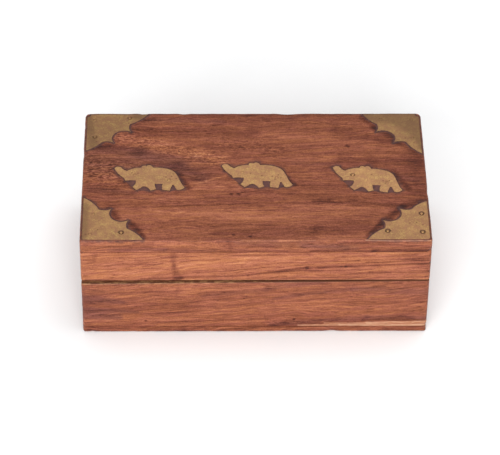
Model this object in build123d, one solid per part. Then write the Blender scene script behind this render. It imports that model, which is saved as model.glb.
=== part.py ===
from build123d import *

import math
import os

# A small hinged keepsake box in rosewood with flush brass inlay.
#
# Millimetres. +Z is up, the front faces -Y, and the origin is the centre of the underside.
# The base is four boards and a bottom board; the lid is four rails and a top board.
# Two butt hinges at the back join them. Velvet lines both halves.

# Outside of the closed box.
LENGTH, DEPTH, HEIGHT = 178.0, 101.0, 64.0
BACK_CORNER_R, FRONT_CORNER_R = 3.0, 1.3  # upright edges, rounded by sanding
TOP_ARRIS, BOTTOM_ARRIS, RIM_ARRIS = 0.9, 0.8, 0.35
JOINT_LINE = 0.25  # width and depth of the eased line where two boards meet

# Boards.
WALL = 8.0
TOP_BOARD, BOTTOM_BOARD = 8.0, 4.0
TOP_BOARD_Z = HEIGHT - TOP_BOARD

# The saw cut that parts the lid from the base. The base's rim is not quite level.
LID_RIM_Z = 36.5
BASE_RIM_LEFT_Z, BASE_RIM_RIGHT_Z = 34.2, 36.0

# Velvet on card.
FLOOR_LINING, WALL_LINING = 1.2, 1.0
BASE_LINING_TOP_Z, LID_LINING_LOW_Z = 33.0, 37.8

# Hinges.
HINGE_AXIS_Y, HINGE_AXIS_Z = DEPTH / 2 - 1.0, 35.55
HINGE_X = 55.0  # each hinge's centre, left and right
HINGE_LENGTH, KNUCKLES = 25.0, 5
BARREL_R, PIN_R, PIN_HOLE_R, PIN_HEAD_R = 2.0, 0.8, 0.85, 1.2
PIN_HEAD = 0.5
KNUCKLE_GAP = 0.15
LEAF, LEAF_GAP = 1.0, 0.4  # thickness, and the gap between closed leaves
LEAF_REACH = 6.0  # from the hinge axis to the leaf's inner edge
LEAF_CLEARANCE = 0.1
BARREL_CLEARANCE = 0.25
STOP_BEVEL_DEG = 53.0  # the two back bevels meet when the lid is fully open

# Hinge screws.
SCREW_SPREAD, SCREW_Y = 14.0, HINGE_AXIS_Y - 4.1
SCREW_HEAD_R, SCREW_R, SCREW_LENGTH = 1.5, 0.75, 7.0
SLOT_WIDTH, SLOT_DEPTH = 0.35, 0.35
HOLE_CLEARANCE = 0.03

# Brads that hold the bottom board.
BRAD_R, BRAD_LENGTH, BRAD_SINK = 0.5, 14.0, 0.4
BRAD_LONG_X, BRAD_SHORT_Y = (-66.0, 0.0, 66.0), (-24.0, 24.0)

# Inlay.
INLAY = 1.2  # thickness of the brass, and the depth of its pocket
PLATE_INSET = 1.2  # from the box's outside to the corner plates
FRONT_PLATE_R, BACK_PLATE_R = 0.6, 2.0  # a plate's own outer corner
EDGE_FILLER = 0.2  # filler along a corner plate's two straight edges
PLATE_FILLER, ELEPHANT_FILLER = 0.8, 0.5  # filler round the rest of the brass
NAIL_R, NAIL_HEAD_R, NAIL_HEAD, NAIL_LENGTH = 0.6, 0.8, 0.5, 5.5
CORNER_RING_R, ELEPHANT_RING_R = 1.4, 1.2  # countersink round a nail head

# Corner plates, seen from the front left corner with u along the front and v along the side:
# leg lengths, then each nail's (u, v, ring), where a nail with no ring is burnished flush.
CORNERS = {
    "front_left": ((-1, -1), (31.8, 33.0), ((20.9, 6.6, True), (6.4, 20.6, False), (5.2, 5.6, False))),
    "front_right": ((1, -1), (32.5, 30.0), ((22.3, 7.5, True), (4.4, 20.7, True), (4.7, 6.7, True))),
    "back_left": ((-1, 1), (33.2, 30.5), ((23.5, 4.0, True), (5.5, 19.5, True), (5.2, 5.6, False))),
    "back_right": ((1, 1), (30.8, 33.4), ((21.5, 5.2, False), (5.6, 20.4, False), (5.2, 5.6, False))),
}
PLATE_NOTCH, PLATE_WAIST, PLATE_CUSP = (23.9, 9.2), (23.3, 12.4), (24.4, 15.6)
PLATE_ARC_MID = 16.4

# Elephants: where each one's own origin lies, its turn, and which of its nails have a ring.
ELEPHANTS = {
    "left": (-55.6, -2.0, 0.0, (False, False)),
    "centre": (0.0, 0.0, 0.0, (False, False)),
    "right": (57.0, -2.8, -4.3, (True, False)),
}
ELEPHANT_NAILS = ((-6.4, 2.6), (11.3, -1.6))  # eye and rump

# The elephant's outline, clockwise from the tip of its trunk. Two points are a straight
# stretch, and more are a smooth curve. Each stretch starts where the last one ends.
ELEPHANT_OUTLINE = (
    ((-17.0, 7.5), (-15.7, 8.8)),  # trunk tip
    ((-15.7, 8.8), (-13.6, 8.5)),
    ((-13.6, 8.5), (-12.4, 6.7), (-10.5, 5.4)),
    ((-10.5, 5.4), (-7.2, 7.4), (-3.0, 8.0)),  # forehead
    ((-3.0, 8.0), (-2.6, 9.3), (-1.5, 9.6), (-0.4, 9.1)),  # saddle
    ((-0.4, 9.1), (1.3, 9.9), (2.2, 9.4), (2.9, 7.9)),
    ((2.9, 7.9), (9.5, 7.3), (13.6, 5.0), (16.3, -0.4), (19.4, -7.5)),  # back and rump
    ((19.4, -7.5), (18.9, -8.4), (16.7, -9.5), (15.3, -9.2)),  # rear foot
    ((15.3, -9.2), (13.8, -5.5)),
    ((13.8, -5.5), (13.0, -5.7)),
    ((13.0, -5.7), (11.9, -10.0)),
    ((11.9, -10.0), (7.8, -9.3)),  # second foot
    ((7.8, -9.3), (7.8, -7.0), (8.2, -4.7)),
    ((8.2, -4.7), (4.0, -4.6)),  # belly
    ((4.0, -4.6), (4.1, -6.4), (4.8, -8.9)),
    ((4.8, -8.9), (1.9, -10.1)),  # third foot
    ((1.9, -10.1), (0.6, -8.0), (-1.2, -6.8), (-3.0, -7.8)),
    ((-3.0, -7.8), (-5.3, -9.5)),  # leading foot
    ((-5.3, -9.5), (-7.5, -7.1)),
    ((-7.5, -7.1), (-5.9, -4.4), (-5.8, -2.1)),  # chest
    ((-5.8, -2.1), (-8.2, -1.8), (-11.2, -2.2)),  # jaw
    ((-11.2, -2.2), (-11.8, -0.3)),
    ((-11.8, -0.3), (-14.6, 2.8), (-17.0, 7.5)),  # under the trunk
)
# The pocket runs straight across the hollows under the figure: where each crossing starts and ends.
ELEPHANT_BRIDGES = {
    (15.3, -9.2): (11.9, -10.0),
    (7.8, -9.3): (4.8, -8.9),
    (1.9, -10.1): (-5.3, -9.5),
    (-5.3, -9.5): (-11.2, -2.2),
}

HERE = "parts"


def save(name, shape):
    """Writes one node as a STEP file."""
    export_step(shape, os.path.join(HERE, name + ".step"))


def block(x0, x1, y0, y1, z0, z1):
    """A box between two corners."""
    return Pos((x0 + x1) / 2, (y0 + y1) / 2, (z0 + z1) / 2) * Box(x1 - x0, y1 - y0, z1 - z0)


def rod(radius, length, x, y, z):
    """An upright cylinder that stands on (x, y, z)."""
    return Pos(x, y, z) * Cylinder(radius, length, align=(Align.CENTER, Align.CENTER, Align.MIN))


def barrel(radius, x0, x1):
    """A cylinder on the hinge axis, from x0 to x1."""
    place = Pos((x0 + x1) / 2, HINGE_AXIS_Y, HINGE_AXIS_Z) * Rot(0, 90, 0)
    return place * Cylinder(radius, x1 - x0)


def prism_along_x(points, x0, x1):
    """The (y, z) polygon, from x0 to x1."""
    face = Plane.YZ.offset(x0) * make_face(Polyline(*points, close=True))
    return extrude(face, x1 - x0)


def joined(pieces):
    """Several solids as one shape, fused where they touch."""
    pieces = list(pieces)
    return pieces[0].fuse(*pieces[1:]) if len(pieces) > 1 else pieces[0]


# ---------------------------------------------------------------- outside forms


def plan(inset=0.0):
    """The box's outline from above, drawn in by the inset."""
    outline = Rectangle(LENGTH - 2 * inset, DEPTH - 2 * inset)
    outline = fillet(outline.vertices().group_by(Axis.Y)[-1], BACK_CORNER_R - inset)
    return fillet(outline.vertices().group_by(Axis.Y)[0], FRONT_CORNER_R - inset)


def envelope():
    """The closed box's outside, as one block with its edges rounded and its joints lined."""
    body = extrude(plan(), HEIGHT)
    body = fillet(body.edges().group_by(Axis.Z)[-1], TOP_ARRIS)
    body = fillet(body.edges().group_by(Axis.Z)[0], BOTTOM_ARRIS)
    for z in (TOP_BOARD_Z, BOTTOM_BOARD):
        body -= joint_groove(z)
    for x in (-LENGTH / 2, LENGTH / 2):
        for y in (-DEPTH / 2 + WALL, DEPTH / 2 - WALL):
            body -= upright_groove(x, y)
    return body


def joint_groove(z):
    """A hairline round the outside, where the boards above and below z meet."""
    ring = Rectangle(LENGTH + 2, DEPTH + 2) - plan(JOINT_LINE)
    return Pos(0, 0, z - JOINT_LINE / 2) * extrude(ring, JOINT_LINE)


def upright_groove(x, y):
    """A hairline on an end of the box, where a side board meets the front or the back one."""
    half = JOINT_LINE / 2
    return block(x - JOINT_LINE, x + JOINT_LINE, y - half, y + half, BOTTOM_BOARD, TOP_BOARD_Z)


def rim_z(x):
    """Height of the base's rim at x."""
    share = (x + LENGTH / 2) / LENGTH
    return BASE_RIM_LEFT_Z + share * (BASE_RIM_RIGHT_Z - BASE_RIM_LEFT_Z)


def above_base_rim():
    """Everything above the base's sloping rim."""
    reach = LENGTH
    section = Polyline(
        (-reach, rim_z(-reach)), (reach, rim_z(reach)), (reach, 2 * HEIGHT), (-reach, 2 * HEIGHT), close=True
    )
    return extrude(Plane.XZ * make_face(section), DEPTH, both=True)


def base_form(body):
    """The outside of the base, with its rim eased."""
    form = body - above_base_rim()
    rim = form.faces().sort_by(Axis.Z)[-1]
    return chamfer(rim.outer_wire().edges(), RIM_ARRIS)


def lid_form(body):
    """The outside of the lid, with its rim eased."""
    form = body & block(-LENGTH, LENGTH, -DEPTH, DEPTH, LID_RIM_Z, HEIGHT + 1)
    rim = form.faces().sort_by(Axis.Z)[0]
    return chamfer(rim.outer_wire().edges(), RIM_ARRIS)


def stop_bevel(up):
    """What the back bevel takes off: from the lid if up is 1, from the base if up is -1."""
    reach = 5.0
    fall = up * reach * math.tan(math.radians(STOP_BEVEL_DEG))
    y, z = HINGE_AXIS_Y, HINGE_AXIS_Z
    points = ((y, z - up * reach), (y, z), (y + reach, z + fall), (y + reach, z - up * reach))
    return prism_along_x(points, -LENGTH, LENGTH)


# ---------------------------------------------------------------- hinges


def hinge_centres():
    return {"left": -HINGE_X, "right": HINGE_X}


def knuckle_spans(centre):
    """The (x0, x1) of each knuckle. Even ones belong to the base's leaf, odd ones to the lid's."""
    pitch = HINGE_LENGTH / KNUCKLES
    start = centre - HINGE_LENGTH / 2
    return [
        (start + i * pitch + KNUCKLE_GAP / 2, start + (i + 1) * pitch - KNUCKLE_GAP / 2)
        for i in range(KNUCKLES)
    ]


def leaf_z(up):
    """Lowest and highest z of the lid's leaf if up is 1, of the base's if up is -1."""
    near, far = LEAF_GAP / 2, LEAF_GAP / 2 + LEAF
    return (HINGE_AXIS_Z + near, HINGE_AXIS_Z + far) if up > 0 else (HINGE_AXIS_Z - far, HINGE_AXIS_Z - near)


def leaf_plate(centre, up, clearance=0.0):
    z0, z1 = leaf_z(up)
    half = HINGE_LENGTH / 2 + clearance
    return block(centre - half, centre + half, HINGE_AXIS_Y - LEAF_REACH - clearance, HINGE_AXIS_Y, z0, z1)


def screw_places(centre):
    return [(centre - SCREW_SPREAD / 2, SCREW_Y), (centre + SCREW_SPREAD / 2, SCREW_Y)]


def hinge_leaf(centre, up):
    """A leaf with its own knuckles, cleared round the other leaf's."""
    plate = leaf_plate(centre, up)
    rounded = [e for e in plate.edges().filter_by(Axis.Z) if e.center().Y < HINGE_AXIS_Y - 1]
    plate = fillet(rounded, 1.0)
    spans = knuckle_spans(centre)
    own, other = (spans[1::2], spans[0::2]) if up > 0 else (spans[0::2], spans[1::2])
    for x0, x1 in other:
        plate -= barrel(BARREL_R + KNUCKLE_GAP, x0 - KNUCKLE_GAP, x1 + KNUCKLE_GAP)
    leaf = joined([plate] + [barrel(BARREL_R, x0, x1) for x0, x1 in own])
    leaf -= barrel(PIN_HOLE_R, spans[0][0] - 1, spans[-1][1] + 1)
    for x, y in screw_places(centre):
        leaf -= screw_form(x, y, up, HOLE_CLEARANCE)
    return leaf


def hinge_pin(centre):
    """The pin, with a peened head outside each end knuckle."""
    half = HINGE_LENGTH / 2 + 0.05
    heads = [
        barrel(PIN_HEAD_R, centre - half - PIN_HEAD, centre - half),
        barrel(PIN_HEAD_R, centre + half, centre + half + PIN_HEAD),
    ]
    heads = [fillet(h.edges().filter_by(GeomType.CIRCLE), PIN_HEAD / 2.5) for h in heads]
    return joined([barrel(PIN_R, centre - half, centre + half)] + heads)


def screw_form(x, y, up, clearance=0.0):
    """A countersunk screw in the lid's leaf if up is 1, in the base's if up is -1, with no slot."""
    r, head = SCREW_R + clearance, SCREW_HEAD_R + clearance
    sink = head - r
    point = 1.0
    profile = Polyline(
        (0, 0), (head, 0), (r, sink), (r, SCREW_LENGTH - point), (0, SCREW_LENGTH + clearance), close=True
    )
    form = revolve(Plane.XZ * make_face(profile), Axis.Z)
    start = HINGE_AXIS_Z + up * LEAF_GAP / 2
    turned = form if up > 0 else Rot(180, 0, 0) * form
    return Pos(x, y, start) * turned


def hinge_screws(centre, up):
    """The two screws of one leaf, each with its slot at its own angle."""
    screws = []
    start = HINGE_AXIS_Z + up * LEAF_GAP / 2
    for (x, y), turn in zip(screw_places(centre), (20.0 + up * 15.0, -35.0 + up * 25.0)):
        slot = Pos(x, y, start) * Rot(0, 0, turn) * Box(3 * SCREW_HEAD_R, SLOT_WIDTH, 2 * SLOT_DEPTH)
        screws.append(screw_form(x, y, up) - slot)
    return Compound(children=screws)


def hinge_recess(centre, up):
    """What the hinge takes out of the back board: room for the leaf, the barrel and the screws."""
    half = HINGE_LENGTH / 2 + PIN_HEAD + BARREL_CLEARANCE
    room = barrel(BARREL_R + BARREL_CLEARANCE, centre - half, centre + half)
    mortise = leaf_plate(centre, up, LEAF_CLEARANCE)
    z0, z1 = leaf_z(up)
    open_side = block(
        centre - HINGE_LENGTH / 2 - LEAF_CLEARANCE,
        centre + HINGE_LENGTH / 2 + LEAF_CLEARANCE,
        HINGE_AXIS_Y - LEAF_REACH - LEAF_CLEARANCE,
        DEPTH,
        min(z0, z0 - up * 2),
        max(z1, z1 - up * 2),
    )
    screws = [screw_form(x, y, up, HOLE_CLEARANCE) for x, y in screw_places(centre)]
    return joined([room, mortise, open_side] + screws)


# ---------------------------------------------------------------- inlay outlines


def stretch(points):
    """One stretch of an outline: a line for two points, a curve for more."""
    return Line(*points) if len(points) == 2 else Spline(*points)


def grown(face, margin):
    """The face with a margin all round, and its outline redrawn as splines."""
    outline = offset(face, margin, kind=Kind.ARC).face().outer_wire()
    return make_face(outline.to_splines())


def elephant_face():
    return make_face([stretch(points) for points in ELEPHANT_OUTLINE])


def elephant_pocket_face():
    """The pocket for an elephant: the figure with its hollows bridged, and a margin all round."""
    edges, resume = [], None
    for points in ELEPHANT_OUTLINE:
        if resume in (None, points[0]):
            resume = ELEPHANT_BRIDGES.get(points[0])
            edges.append(stretch((points[0], resume) if resume else points))
    return grown(make_face(edges), ELEPHANT_FILLER)


def swapped(point):
    """The same point on the plate's other leg."""
    return point[1], point[0]


def plate_face(leg_u, leg_v, corner_r):
    """A corner plate in its own (u, v): two straight outer edges, and cusps and hollows inside."""
    low = PLATE_INSET
    taper_u = ((leg_u + PLATE_NOTCH[0]) / 2 + 0.5, (low + PLATE_NOTCH[1]) / 2 + 0.6)
    taper_v = ((low + PLATE_NOTCH[1]) / 2 + 0.6, (leg_v + PLATE_NOTCH[0]) / 2 + 0.5)
    cusp_v, waist_v, notch_v = swapped(PLATE_CUSP), swapped(PLATE_WAIST), swapped(PLATE_NOTCH)
    edges = [
        Line((low + corner_r, low), (leg_u, low)),
        Spline((leg_u, low), taper_u, PLATE_NOTCH),
        ThreePointArc(PLATE_NOTCH, PLATE_WAIST, PLATE_CUSP),
        ThreePointArc(PLATE_CUSP, (PLATE_ARC_MID, PLATE_ARC_MID), cusp_v),
        ThreePointArc(cusp_v, waist_v, notch_v),
        Spline(notch_v, taper_v, (low, leg_v)),
        Line((low, leg_v), (low, low + corner_r)),
        RadiusArc((low, low + corner_r), (low + corner_r, low), corner_r),
    ]
    return make_face(edges)


def plate_pocket_face(plate):
    """The pocket for a corner plate: a margin all round, but close to its two straight edges."""
    low = PLATE_INSET - EDGE_FILLER
    corner = Pos(low, low) * Rectangle(LENGTH, DEPTH, align=(Align.MIN, Align.MIN))
    return grown(plate, PLATE_FILLER) & corner


def slab(face, z1=HEIGHT, depth=INLAY):
    """The face, thickened down from z1."""
    return Pos(0, 0, z1 - depth) * extrude(face, depth, dir=(0, 0, 1))


def on_corner(signs, shape):
    """Carries a shape from a corner's own (u, v) to its place on the lid."""
    sx, sy = signs
    moved = shape
    if sx > 0:
        moved = mirror(moved, Plane.YZ)
    if sy > 0:
        moved = mirror(moved, Plane.XZ)
    return Pos(sx * LENGTH / 2, sy * DEPTH / 2, 0) * moved


# ---------------------------------------------------------------- nails in the brass


def nail(x, y):
    """A brass nail with a small domed head, driven flush."""
    shank = rod(NAIL_R, NAIL_LENGTH - NAIL_HEAD, x, y, HEIGHT - NAIL_LENGTH)
    shank = chamfer(shank.edges().group_by(Axis.Z)[0], NAIL_R * 0.7)
    head = rod(NAIL_HEAD_R, NAIL_HEAD, x, y, HEIGHT - NAIL_HEAD)
    head = fillet(head.edges().group_by(Axis.Z)[-1], NAIL_HEAD * 0.6)
    return joined([shank, head])


def nail_hole(x, y, ring_r):
    """The hole for a nail. A ring_r above the head's radius leaves a countersunk ring round it."""
    snug = NAIL_R + HOLE_CLEARANCE
    head = NAIL_HEAD_R + HOLE_CLEARANCE
    hole = rod(snug, NAIL_LENGTH, x, y, HEIGHT - NAIL_LENGTH - HOLE_CLEARANCE)
    hole += rod(head, NAIL_HEAD + 1, x, y, HEIGHT - NAIL_HEAD)
    if ring_r > head:
        cone = Cone(head, ring_r, NAIL_HEAD, align=(Align.CENTER, Align.CENTER, Align.MIN))
        hole += Pos(x, y, HEIGHT - NAIL_HEAD) * cone
    return hole


def corner_nails(name):
    """Each nail of a corner plate as (x, y, ring radius)."""
    (sx, sy), _, nails = CORNERS[name]
    return [
        (sx * (LENGTH / 2 - u), sy * (DEPTH / 2 - v), CORNER_RING_R if ring else 0.0) for u, v, ring in nails
    ]


def elephant_nails(name):
    """Each nail of an elephant as (x, y, ring radius)."""
    x0, y0, turn, rings = ELEPHANTS[name]
    places = []
    for (u, v), ring in zip(ELEPHANT_NAILS, rings):
        at = Vector(u, v).rotate(Axis.Z, turn)
        places.append((x0 + at.X, y0 + at.Y, ELEPHANT_RING_R if ring else 0.0))
    return places


def inlays():
    """{name: (brass, pocket, filler, nails)} for the four corner plates and the three elephants."""
    found = {}
    for name, (signs, legs, _) in CORNERS.items():
        plate = plate_face(*legs, FRONT_PLATE_R if signs[1] < 0 else BACK_PLATE_R)
        layers = inlay_layers(plate, plate_pocket_face(plate))
        found["corner_plate_" + name] = (*(on_corner(signs, layer) for layer in layers), corner_nails(name))
    for name, (x, y, turn, _) in ELEPHANTS.items():
        place = Pos(x, y, 0) * Rot(0, 0, turn)
        layers = inlay_layers(elephant_face(), elephant_pocket_face())
        found["elephant_" + name] = (*(place * layer for layer in layers), elephant_nails(name))
    return found


def inlay_layers(brass, pocket):
    """The brass, the pocket it lies in, and the filler between the two."""
    return slab(brass), slab(pocket), slab(pocket - brass)


# ---------------------------------------------------------------- boards and lining


def walls(z0, z1):
    """Front and back boards of the full length, with the side boards between them."""
    x, y = LENGTH / 2, DEPTH / 2
    return {
        "front": block(-x, x, -y, -y + WALL, z0, z1),
        "back": block(-x, x, y - WALL, y, z0, z1),
        "left": block(-x, -x + WALL, -y + WALL, y - WALL, z0, z1),
        "right": block(x - WALL, x, -y + WALL, y - WALL, z0, z1),
    }


def wall_linings(z0, z1):
    """Velvet strips on the inside of the walls: long ones first, short ones between them."""
    x, y = LENGTH / 2 - WALL, DEPTH / 2 - WALL
    t = WALL_LINING
    return {
        "front": block(-x, x, -y, -y + t, z0, z1),
        "back": block(-x, x, y - t, y, z0, z1),
        "left": block(-x, -x + t, -y + t, y - t, z0, z1),
        "right": block(x - t, x, -y + t, y - t, z0, z1),
    }


def brad_places():
    y, x = DEPTH / 2 - WALL / 2, LENGTH / 2 - WALL / 2
    long_sides = [(bx, side * y) for side in (-1, 1) for bx in BRAD_LONG_X]
    short_sides = [(side * x, by) for side in (-1, 1) for by in BRAD_SHORT_Y]
    return long_sides + short_sides


def build_base(body):
    """The base's boards, brads and lining."""
    form = base_form(body) - stop_bevel(-1)
    holes = [rod(BRAD_R + HOLE_CLEARANCE, BRAD_LENGTH + BRAD_SINK, x, y, 0) for x, y in brad_places()]
    for side, board in walls(BOTTOM_BOARD, HEIGHT).items():
        board = board & form
        if side == "back":
            for centre in hinge_centres().values():
                board -= hinge_recess(centre, -1)
        save(f"base_{side}_board", board.cut(*holes))
    bottom = block(-LENGTH, LENGTH, -DEPTH, DEPTH, 0, BOTTOM_BOARD) & form
    save("base_bottom_board", bottom.cut(*holes))
    brads = [rod(BRAD_R, BRAD_LENGTH, x, y, BRAD_SINK) for x, y in brad_places()]
    save("bottom_board_brads", Compound(children=brads))

    floor_top = BOTTOM_BOARD + FLOOR_LINING
    x, y = LENGTH / 2 - WALL, DEPTH / 2 - WALL
    save("base_floor_lining", block(-x, x, -y, y, BOTTOM_BOARD, floor_top))
    for side, strip in wall_linings(floor_top, BASE_LINING_TOP_Z).items():
        save(f"base_{side}_lining", strip)


def build_lid(body):
    """The lid's boards and lining."""
    form = lid_form(body) - stop_bevel(1)
    for side, board in walls(LID_RIM_Z, TOP_BOARD_Z).items():
        board = board & form
        if side == "back":
            for centre in hinge_centres().values():
                board -= hinge_recess(centre, 1)
        save(f"lid_{side}_rail", board)
    ceiling = TOP_BOARD_Z - WALL_LINING
    x, y = LENGTH / 2 - WALL, DEPTH / 2 - WALL
    save("lid_top_lining", block(-x, x, -y, y, ceiling, TOP_BOARD_Z))
    for side, strip in wall_linings(LID_LINING_LOW_Z, ceiling).items():
        save(f"lid_{side}_lining", strip)
    return block(-LENGTH, LENGTH, -DEPTH, DEPTH, TOP_BOARD_Z, HEIGHT + 1) & form


def build_inlays(top_board):
    """The brass, its filler and its nails, and the top board that holds them."""
    for name, (brass, pocket, filler, nails) in inlays().items():
        top_board -= pocket
        holes = [nail_hole(*place) for place in nails]
        top_board = top_board.cut(*holes)
        save(name, brass.cut(*holes))
        save(name + "_filler", filler)
        save(name + "_nails", Compound(children=[nail(x, y) for x, y, _ in nails]))
    save("lid_top_board", top_board)


def build_hinges():
    for side, centre in hinge_centres().items():
        for half, up in (("base", -1), ("lid", 1)):
            save(f"hinge_{side}_{half}_leaf", hinge_leaf(centre, up))
            save(f"hinge_{side}_{half}_screws", hinge_screws(centre, up))
        save(f"hinge_{side}_pin", hinge_pin(centre))


def main():
    os.makedirs(HERE, exist_ok=True)
    body = envelope()
    build_base(body)
    build_inlays(build_lid(body))
    build_hinges()


main()
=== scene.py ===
"""The looks of a small inlaid rosewood box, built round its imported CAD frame.

Metres, in the frame's own axes: +Z up, the front faces -Y, the lid's hinges are at +Y.
Wood, brass and filler are denser copies of the CAD pieces, worn and uneven as hand work is.
"""

import math

import bmesh
import bpy
from mathutils import Matrix, Vector, kdtree, noise


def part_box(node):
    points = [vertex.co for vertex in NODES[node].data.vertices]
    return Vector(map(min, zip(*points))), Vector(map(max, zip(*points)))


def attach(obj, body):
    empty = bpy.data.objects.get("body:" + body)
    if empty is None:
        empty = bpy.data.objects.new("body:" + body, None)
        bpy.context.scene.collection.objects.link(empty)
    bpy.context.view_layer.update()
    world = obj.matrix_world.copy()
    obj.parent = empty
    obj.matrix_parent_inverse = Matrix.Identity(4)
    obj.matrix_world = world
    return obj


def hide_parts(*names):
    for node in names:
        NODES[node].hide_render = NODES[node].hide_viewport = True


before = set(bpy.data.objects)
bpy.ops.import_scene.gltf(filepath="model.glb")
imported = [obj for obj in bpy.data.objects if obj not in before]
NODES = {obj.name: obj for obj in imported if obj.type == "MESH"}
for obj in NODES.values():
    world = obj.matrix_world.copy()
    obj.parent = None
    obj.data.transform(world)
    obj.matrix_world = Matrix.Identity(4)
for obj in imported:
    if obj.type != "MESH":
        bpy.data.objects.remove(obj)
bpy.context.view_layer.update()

# Without a seed, noise_vector takes its offsets from the clock and differs from run to run.
HAND_SEED = 7
noise.seed_set(HAND_SEED)

MM = 0.001

# The box's wooden outside.
FRONT_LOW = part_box("base_front_board")[0]
BACK_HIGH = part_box("base_back_board")[1]
BOX_LOW = Vector((FRONT_LOW.x, FRONT_LOW.y, 0))
BOX_HIGH = Vector((BACK_HIGH.x, BACK_HIGH.y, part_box("lid_top_board")[1].z))
LID_LOW = Vector((BOX_LOW.x, BOX_LOW.y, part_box("lid_front_rail")[0].z))
RIM_LEFT, RIM_RIGHT = 34.2 * MM, 36.0 * MM  # the base's rim isn't quite level

# How far apart the cuts of the dense copies are, and the gaps from an edge to its extra cuts.
WOOD_PITCH, BRASS_PITCH, FILLER_PITCH, VELVET_PITCH = 1.6 * MM, 1.0 * MM, 0.7 * MM, 2.2 * MM
EDGE_CUTS = (0.35 * MM, 0.8 * MM, 1.4 * MM, 2.2 * MM, 3.2 * MM)

# Points closer than WELD are one point. Heights within LEVEL of a top count as on it.
WELD, LEVEL = 1e-6, 0.01 * MM

SIDES = ("front", "back", "left", "right")
CORNERS = ("front_left", "front_right", "back_left", "back_right")
ELEPHANTS = ("left", "centre", "right")
INLAYS = [f"corner_plate_{c}" for c in CORNERS] + [f"elephant_{e}" for e in ELEPHANTS]


# ---------------------------------------------------------------- node trees


class Tree:
    """A node tree built with short calls. A value may be a number, a tuple or another node's socket."""

    def __init__(self, tree):
        self.nodes = tree.nodes
        self.links = tree.links

    def feed(self, socket, value):
        if isinstance(value, bpy.types.NodeSocket):
            self.links.new(value, socket)
        else:
            socket.default_value = value

    def add(self, kind, *values, **settings):
        """A node with its first inputs fed in order. None leaves an input as it is."""
        node = self.nodes.new("ShaderNode" + kind)
        for key, value in settings.items():
            setattr(node, key, value)
        for socket, value in zip(node.inputs, values):
            if value is not None:
                self.feed(socket, value)
        return node

    def math(self, operation, *values):
        return self.add("Math", *values, operation=operation).outputs[0]

    def vector(self, operation, a, b=None):
        return self.add("VectorMath", a, b, operation=operation).outputs[0]

    def scaled(self, vector, factors):
        return self.vector("MULTIPLY", vector, factors)

    def noise_node(self, vector, scales, detail, roughness, distortion=0.0):
        if isinstance(scales, float):
            scales = (scales, scales, scales)
        node = self.nodes.new("ShaderNodeTexNoise")
        self.feed(node.inputs["Vector"], self.scaled(vector, scales))
        settings = {"Scale": 1.0, "Detail": detail, "Roughness": roughness, "Distortion": distortion}
        for key, value in settings.items():
            node.inputs[key].default_value = value
        return node

    def noise(self, vector, scales, detail=2.0, roughness=0.5, distortion=0.0):
        """Noise about 0.5 with features 1 / scales across. Scales is one number or one for each axis."""
        return self.noise_node(vector, scales, detail, roughness, distortion).outputs["Fac"]

    def drift(self, vector, scales, detail, roughness=0.5):
        """A vector that wanders about zero."""
        colour = self.noise_node(vector, scales, detail, roughness).outputs["Color"]
        return self.vector("SUBTRACT", colour, (0.5, 0.5, 0.5))

    def swing(self, value, grain, amount):
        """The value, raised and lowered by a noise that lies about 0.5."""
        return self.math("MULTIPLY_ADD", self.math("SUBTRACT", grain, 0.5), amount, value)

    def smooth(self, value, low, high, out_low=0.0, out_high=1.0):
        """Eases from out_low to out_high as value goes from low to high."""
        node = self.add("MapRange", value, low, high, out_low, out_high, interpolation_type="SMOOTHSTEP")
        return node.outputs[0]

    def mix(self, share, a, b, blend="MIX"):
        node = self.nodes.new("ShaderNodeMix")
        node.data_type = "RGBA"
        node.blend_type = blend
        self.feed(node.inputs[0], share)
        self.feed(node.inputs[6], a if isinstance(a, bpy.types.NodeSocket) else (*a, 1.0))
        self.feed(node.inputs[7], b if isinstance(b, bpy.types.NodeSocket) else (*b, 1.0))
        return node.outputs[2]

    def ramp(self, value, stops):
        """A colour ramp through (place, colour) stops."""
        node = self.nodes.new("ShaderNodeValToRGB")
        self.feed(node.inputs[0], value)
        elements = node.color_ramp.elements
        while len(elements) < len(stops):
            elements.new(0.5)
        for element, (place, colour) in zip(elements, stops):
            element.position = place
            element.color = (*colour, 1.0)
        return node.outputs[0]

    def attribute(self, name):
        return self.add("Attribute", attribute_name=name).outputs["Fac"]

    def place_mm(self):
        """Where a point is in the row frame, in millimetres. It stays with the piece in every pose."""
        return self.vector("MULTIPLY", self.add("TexCoord").outputs["Object"], (1000.0, 1000.0, 1000.0))

    def axes(self, vector):
        return self.add("SeparateXYZ", vector).outputs

    def join(self, x, y, z):
        return self.add("CombineXYZ", x, y, z).outputs[0]

    def bump(self, height, depth, strength):
        """A normal for a relief of that depth in metres."""
        node = self.nodes.new("ShaderNodeBump")
        node.inputs["Strength"].default_value = strength
        node.inputs["Distance"].default_value = depth
        self.feed(node.inputs["Height"], height)
        return node.outputs[0]

    def surface(self, colour, roughness, normal=None, **settings):
        """The material's one Principled shader and its output."""
        shader = self.nodes.new("ShaderNodeBsdfPrincipled")
        self.feed(shader.inputs["Base Color"], colour)
        self.feed(shader.inputs["Roughness"], roughness)
        if normal is not None:
            self.feed(shader.inputs["Normal"], normal)
        for key, value in settings.items():
            shader.inputs[key.replace("_", " ")].default_value = value
        self.add("OutputMaterial", shader.outputs[0])


def material(name):
    """A new material and its empty tree."""
    made = bpy.data.materials.new(name)
    made.use_nodes = True
    made.node_tree.nodes.clear()
    return made, Tree(made.node_tree)


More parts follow.
